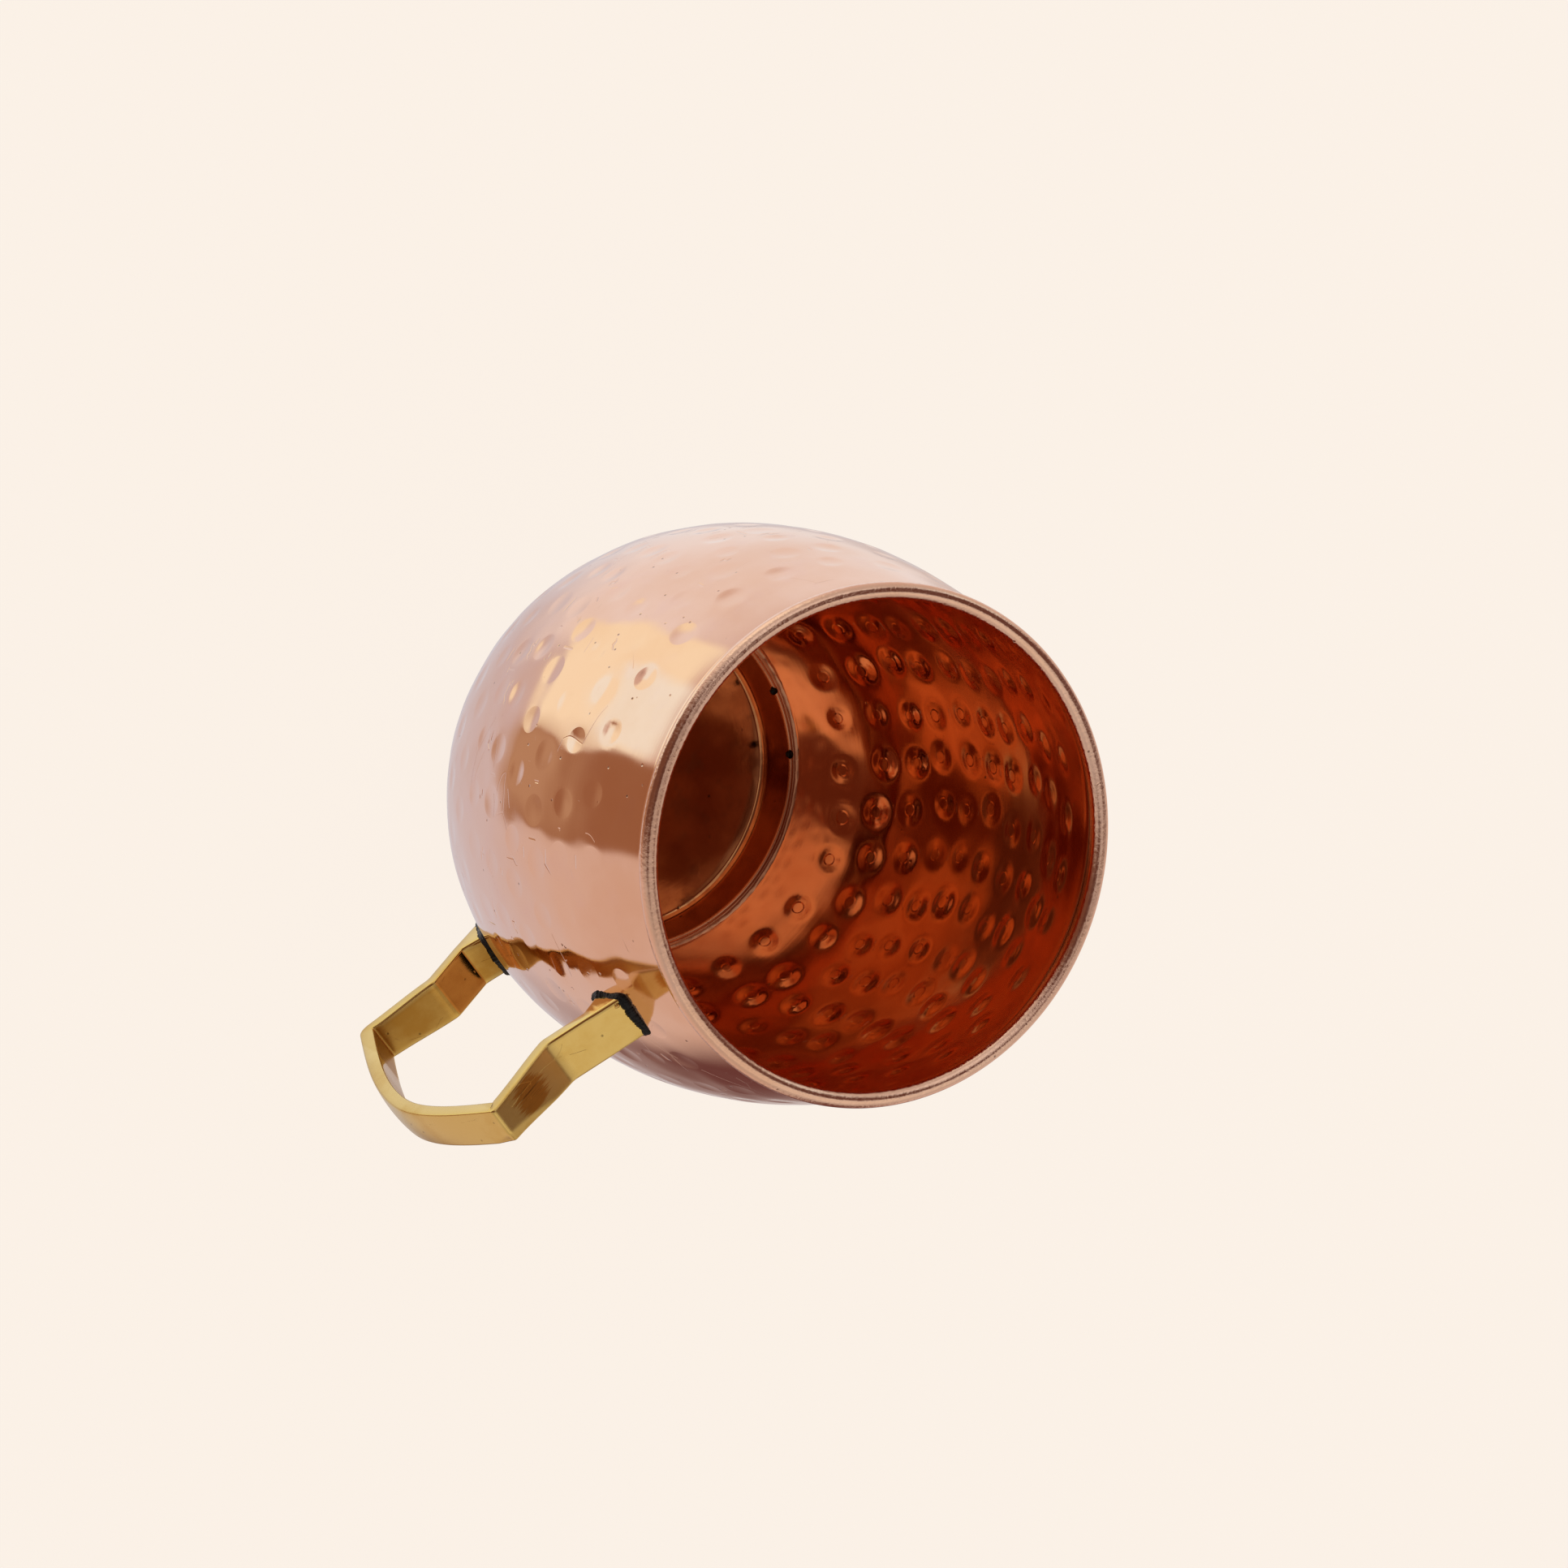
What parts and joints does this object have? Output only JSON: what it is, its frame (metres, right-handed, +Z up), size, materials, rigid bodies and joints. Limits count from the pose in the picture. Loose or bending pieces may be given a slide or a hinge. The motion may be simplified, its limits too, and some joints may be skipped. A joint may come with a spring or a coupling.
{
  "type": "drinking mug",
  "caption": "Barrel-shaped hammered copper drinking mug with a rolled rim, a brazed-in stepped base and an angular brass strap handle.",
  "frame": {"origin": "centre of the underside of the foot, on the table that the mug stands on", "axes": "+Z up along the barrel's axis to the mouth, +X towards the handle"},
  "size_m": [0.1208, 0.0914, 0.095],
  "materials": {
    "hammered_copper": "polished and hammered copper",
    "base_copper": "tarnished copper",
    "base_filler": "dull brazing filler",
    "polished_brass": "polished and satin brass",
    "burnt_flux": "burnt flux and filler, rough black"
  },
  "bodies": {
    "root": {"body_shell": "hammered_copper", "base_cup": "base_copper", "base_braze": "base_filler", "handle": "polished_brass", "upper_braze": "burnt_flux", "lower_braze": "burnt_flux"}
  },
  "joints": []
}
